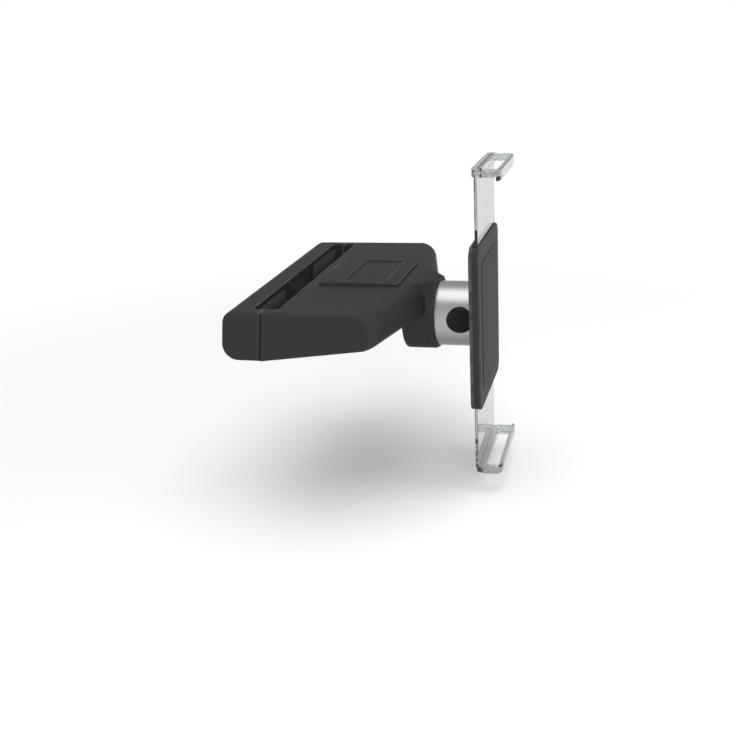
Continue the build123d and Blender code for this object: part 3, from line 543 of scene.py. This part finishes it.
def closed_skin(name: str, shells: list[np.ndarray]) -> bpy.types.Object:
    """Make one piece of closed skins.

    Args:
        name: name of the piece.
        shells: rings of points of each skin, as arrays of shape rows, columns, 3; the middle of the first and
            last ring closes the ends.

    Returns:
        The new mesh object, at the origin.
    """
    points: list[np.ndarray] = []
    faces: list[list[int]] = []
    for rings in shells:
        rows, columns, _ = rings.shape
        first = sum(len(part) for part in points)
        faces += [[first + number for number in face] for face in tube_faces(rows, columns)]
        points += [rings.reshape(-1, 3), rings[0].mean(axis=0)[None], rings[-1].mean(axis=0)[None]]
    mesh = bpy.data.meshes.new(name)
    mesh.from_pydata(np.concatenate(points).tolist(), [], faces)
    mesh.polygons.foreach_set("use_smooth", np.ones(len(mesh.polygons), dtype=bool))
    mesh.update()
    piece = bpy.data.objects.new(name, mesh)
    bpy.context.scene.collection.objects.link(piece)
    return piece


def about_x(points: np.ndarray, degrees: float) -> np.ndarray:
    """Turn points, with X, Y, Z on the last axis, about the X axis by the right-hand rule."""
    turn = np.array(Matrix.Rotation(math.radians(degrees), 3, "X"))
    return points @ turn.T


@dataclass
class SlotLiners:
    """Four ribbed rubber liners of the clamp's slot, two on the body and two on the jaw."""

    finishes: Finishes
    inner: float = 30.5
    outer: float = 80.0
    half_height: float = 11.5
    back: float = 8.0
    thickness: float = 2.0
    rise: float = 0.7
    ribs: int = 9
    rows_per_rib: int = 16
    corner: float = 0.9
    corner_points: int = 6
    rake: float = 7.0

    def rings(self, side: int, facing: int) -> np.ndarray:
        """Work out the skin of one liner.

        A rounded profile in depth and height is carried along X. Its depth at x is
        thickness + rise * sin^2(pi * ribs * t), with t from 0 to 1 along the liner, and it
        falls off as a quarter circle at both ends.

        Args:
            side: -1 for the left liner, 1 for the right one.
            facing: 1 for the body's liner, -1 for the jaw's.

        Returns:
            Rings of points, in metres.
        """
        turn = np.linspace(0.0, math.pi / 2, self.corner_points)
        t = np.linspace(0.0, 1.0, self.rows_per_rib * self.ribs + 1)
        x = self.inner + (self.outer - self.inner) * t
        edge = np.clip(np.minimum(x - self.inner, self.outer - x) / self.corner, 0.0, 1.0)
        fall = np.sqrt(np.clip(1 - (1 - edge) ** 2, 0.0, 1.0))
        depth = self.thickness + self.rise * np.sin(math.pi * self.ribs * t) ** 2 - self.corner * (1 - fall)
        top = self.half_height
        upper_z = top - self.corner * (1 - np.sin(turn))[::-1]
        upper_depth = 1 - self.corner * np.cos(turn)[::-1] / self.thickness
        share = np.concatenate([[0.0], upper_depth[::-1], upper_depth, [0.0]])
        height = np.concatenate([[top], upper_z[::-1], -upper_z, [-top]])
        y = -facing * self.back + facing * depth[:, None] * share[None, :]
        z = np.broadcast_to(height, y.shape)
        rings = np.stack([np.broadcast_to(side * x[:, None], y.shape), y, z], axis=-1)
        # Two of the four are mirrored, and their rings run the other way, so that all faces look outwards.
        if side * facing > 0:
            rings = rings[:, ::-1]
        return about_x(rings, self.rake) * MM

    def build(self) -> None:
        """Make, dress and seat the four liners."""
        for body, holder, facing in (("clamp_base", "body", 1), ("jaw", "jaw", -1)):
            for side, hand in ((-1, "left"), (1, "right")):
                node = f"{holder}_pad_{hand}"
                piece = closed_skin(f"ribbed_{node}", [self.rings(side, facing)])
                self.finishes.dress(piece, Slot.RUBBER)
                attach(piece, body)
                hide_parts(node)
                LOG.info("made %s", piece.name)


@dataclass(frozen=True)
class ScrewSize:
    """Sizes of one kind of screw, and the form of its cross recess as shares of the head."""

    head_radius: float
    head_height: float
    radius: float
    length: float
    recess_depth: float = 0.7
    cross_reach: float = 0.62
    cross_half: float = 0.13
    cross_wall: float = 0.08


@dataclass
class ScrewSet:
    """Like screws with a cross recess, seated where the solid ones are."""

    finishes: Finishes
    node: str
    body: str
    size: ScrewSize
    places: list[Point]
    tilt: float
    columns: int = 72
    face_rows: int = 22
    face_share: Span = (0.02, 0.94)
    rim_radius: tuple[float, ...] = (0.97, 0.99, 1.0, 1.0)
    rim_height: tuple[float, ...] = (0.01, 0.05, 0.14, 1.0)
    tip_radius: float = 0.5
    tip_height: float = 0.6

    def bar(self, across: np.ndarray, along: np.ndarray) -> np.ndarray:
        """Work out one bar of the cross, with a soft wall.

        Args:
            across: distance from the bar's middle line.
            along: distance from the screw's axis on that line.

        Returns:
            Share of the full depth, from 0 to 1.
        """
        size = self.size
        reach, half, wall = size.head_radius * np.array([size.cross_reach, size.cross_half, size.cross_wall])
        beside = np.clip((half - np.abs(across)) / wall + 0.5, 0, 1)
        ends = np.clip((reach - np.abs(along)) / wall, 0, 1)
        return beside * ends

    def skin(self) -> np.ndarray:
        """Work out one screw with its head at the origin and its point along +Z.

        A profile of radius and height is turned round Z. Inside the head's rim the height grows by
        recess depth * cross(x, y), where cross is the larger of two bars with soft walls.

        Returns:
            Rings of points, in millimetres.
        """
        size = self.size
        face = np.linspace(*self.face_share, self.face_rows) * size.head_radius
        rim = size.head_radius * np.array(self.rim_radius)
        rim_height = size.head_height * np.array(self.rim_height)
        shank = size.radius * np.array([1.0, 1.0, self.tip_radius])
        shank_height = np.array([size.head_height, size.length - self.tip_height * size.radius, size.length])
        radius = np.concatenate([face, rim, shank])
        height = np.concatenate([np.zeros_like(face), rim_height, shank_height])
        turn = np.linspace(0.0, 2 * math.pi, self.columns, endpoint=False)
        x = radius[:, None] * np.cos(turn)[None, :]
        y = radius[:, None] * np.sin(turn)[None, :]
        cross = np.maximum(self.bar(x, y), self.bar(y, x))
        on_face = np.arange(len(radius)) < len(face)
        z = height[:, None] + size.recess_depth * size.head_height * cross * on_face[:, None]
        return np.stack([x, y, z], axis=-1)

    def build(self) -> None:
        """Make the screws as one piece, dress it and seat it."""
        one = about_x(self.skin(), self.tilt)
        piece = closed_skin(f"cross_{self.node}", [(one + np.array(place)) * MM for place in self.places])
        self.finishes.dress(piece, Slot.STEEL)
        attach(piece, self.body)
        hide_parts(self.node)
        LOG.info("made %s", piece.name)


@dataclass
class Solids:
    """The solid pieces of the frame, which keep their shapes."""

    finishes: Finishes
    nodes: dict[str, bpy.types.Object]
    slots: dict[str, str]
    button: str = "release_button"

    def build(self) -> None:
        """Give each solid piece the finish of its slot."""
        for name, piece in self.nodes.items():
            self.finishes.dress(piece, Slot(self.slots[name]))
            LOG.info("dressed %s", name)
        # The button is a shade darker than the body.
        self.finishes.dress(self.nodes[self.button], Slot.INNER)


@dataclass
class Clamp:
    """Clamp body and jaw, with the liners of the slot between them and the screws underneath."""

    finishes: Finishes
    underside: float = -15.4
    cover_tilt: float = -7.6
    cover_screws: tuple[Span, ...] = (
        (-32.0, -15.6), (-32.0, -60.4), (-78.2, -38.0), (32.0, -15.6), (32.0, -60.4), (78.2, -38.0),
    )
    cover_screw: ScrewSize = ScrewSize(head_radius=2.6, head_height=1.3, radius=1.4, length=9.0)
    bar_screw: ScrewSize = ScrewSize(head_radius=4.0, head_height=2.0, radius=2.0, length=20.4)
    bar_screw_y: float = 15.0

    def build(self) -> None:
        """Add the liners and the screws."""
        SlotLiners(self.finishes).build()
        flat = np.array([(x, y, 0.0) for x, y in self.cover_screws])
        places = about_x(flat, self.cover_tilt) + np.array([0.0, 0.0, self.underside])
        ScrewSet(
            self.finishes, "cover_screws", "clamp_base", self.cover_screw,
            [tuple(place) for place in places], self.cover_tilt,
        ).build()
        ScrewSet(
            self.finishes, "bar_screw", "jaw", self.bar_screw, [(0.0, self.bar_screw_y, self.underside)], 0.0,
        ).build()


@dataclass
class Holder:
    """Holder behind the ring, whose screws are seen on its back."""

    finishes: Finishes
    back: float = -115.3
    axis_height: float = -10.0
    screw_x: float = 38.0
    screw_row: float = 42.0
    screw_tilt: float = 90.0
    screw: ScrewSize = ScrewSize(head_radius=1.9, head_height=0.8, radius=1.0, length=4.2)

    def build(self) -> None:
        """Add the holder's screws."""
        places = [
            (side * self.screw_x, self.back, self.axis_height + row)
            for side in (-1, 1)
            for row in (-self.screw_row, 0.0, self.screw_row)
        ]
        ScrewSet(self.finishes, "holder_screws", "holder", self.screw, places, self.screw_tilt).build()


@dataclass(frozen=True)
class SoftLamp:
    """A square soft lamp, with its place and side in metres and its power in watts."""

    name: str
    place: Point
    side: float
    power: float

    def build(self, target: Point) -> None:
        """Add the lamp to the scene.

        Args:
            target: point that the lamp looks at.
        """
        data = bpy.data.lights.new(self.name, "AREA")
        data.shape = "SQUARE"
        data.size = self.side
        data.energy = self.power
        lamp = bpy.data.objects.new(self.name, data)
        lamp.location = self.place
        aim = Vector(target) - Vector(self.place)
        lamp.rotation_euler = aim.to_track_quat("-Z", "Y").to_euler()
        bpy.context.scene.collection.objects.link(lamp)


@dataclass
class Studio:
    """Pale floor, soft lamps, white surroundings and the camera, in metres and degrees."""

    floor_height: float
    floor_half: float = 6.0
    daylight: float = 0.55
    lamp_target: Point = (0.0, -0.06, 0.0)
    lamps: tuple[SoftLamp, ...] = (
        SoftLamp("overhead", (-0.10, -0.15, 1.10), 1.1, 8.6),
        SoftLamp("side", (-1.20, -0.55, 0.30), 0.8, 9.0),
        SoftLamp("front", (0.15, -1.30, 0.45), 0.9, 4.0),
    )
    camera_place: Point = (-0.5891, -0.2111, 0.1760)
    azimuth: float = 286.355
    elevation: float = 20.264
    roll: float = -3.417
    lens_mm: float = 47.15
    sensor_mm: float = 36.0
    near: float = 0.01

    def world(self) -> None:
        """Light from all round, shown white to the camera and through clear pieces."""
        world = bpy.data.worlds.new("studio")
        bpy.context.scene.world = world
        world.use_nodes = True
        tree = world.node_tree
        tree.nodes.clear()
        path = add_node(tree, "ShaderNodeLightPath")
        seen = add_node(tree, "ShaderNodeMath", {
            0: path.outputs["Is Camera Ray"], 1: path.outputs["Is Transmission Ray"],
        }, operation="MAXIMUM")
        strength = add_node(tree, "ShaderNodeMapRange", {
            "Value": seen.outputs[0], "To Min": self.daylight, "To Max": 1.0,
        })
        white = add_node(tree, "ShaderNodeBackground", {"Color": WHITE, "Strength": strength.outputs[0]})
        add_node(tree, "ShaderNodeOutputWorld", {"Surface": white.outputs[0]})

    def floor(self) -> None:
        """Lay a wide plain floor that fades into the white surroundings."""
        half, height = self.floor_half, self.floor_height
        corners = [(-half, -half, height), (half, -half, height), (half, half, height), (-half, half, height)]
        mesh = bpy.data.meshes.new("floor")
        mesh.from_pydata(corners, [], [(0, 1, 2, 3)])
        mesh.materials.append(PaleFloor().material())
        piece = bpy.data.objects.new("floor", mesh)
        bpy.context.scene.collection.objects.link(piece)
        piece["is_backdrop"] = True

    def camera(self) -> None:
        """Place the camera at the photograph's angle."""
        turn, lift, roll = (math.radians(angle) for angle in (self.azimuth, self.elevation, self.roll))
        back = Vector((math.sin(turn) * math.cos(lift), -math.cos(turn) * math.cos(lift), math.sin(lift)))
        right = (-back).cross(Vector((0.0, 0.0, 1.0))).normalized()
        up = right.cross(-back)
        across = right * math.cos(roll) + up * math.sin(roll)
        above = up * math.cos(roll) - right * math.sin(roll)
        data = bpy.data.cameras.new("camera")
        data.sensor_width = self.sensor_mm
        data.lens = self.lens_mm
        data.clip_start = self.near
        camera = bpy.data.objects.new("camera", data)
        axes = Matrix((across, above, back)).transposed().to_4x4()
        camera.matrix_world = Matrix.Translation(self.camera_place) @ axes
        bpy.context.scene.collection.objects.link(camera)
        bpy.context.scene.camera = camera

    def build(self) -> None:
        """Set up the whole studio."""
        bpy.context.scene.view_settings.view_transform = "Standard"
        self.world()
        self.floor()
        for lamp in self.lamps:
            lamp.build(self.lamp_target)
        self.camera()


def main() -> None:
    """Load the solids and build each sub-assembly."""
    logging.basicConfig(level=logging.INFO, format="%(message)s")
    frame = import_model()
    solid_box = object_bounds()
    slots = {part["node"]: part["material_slot"] for part in frame["record"]["subparts"]}
    finishes = Finishes()
    finishes.build()
    Solids(finishes, frame["nodes"], slots).build()
    Clamp(finishes).build()
    Holder(finishes).build()
    Studio(floor_height=solid_box[0].z - CLIP_ROOM_MM * MM).build()
    LOG.info("boxes written")


if __name__ == "__main__":
    main()
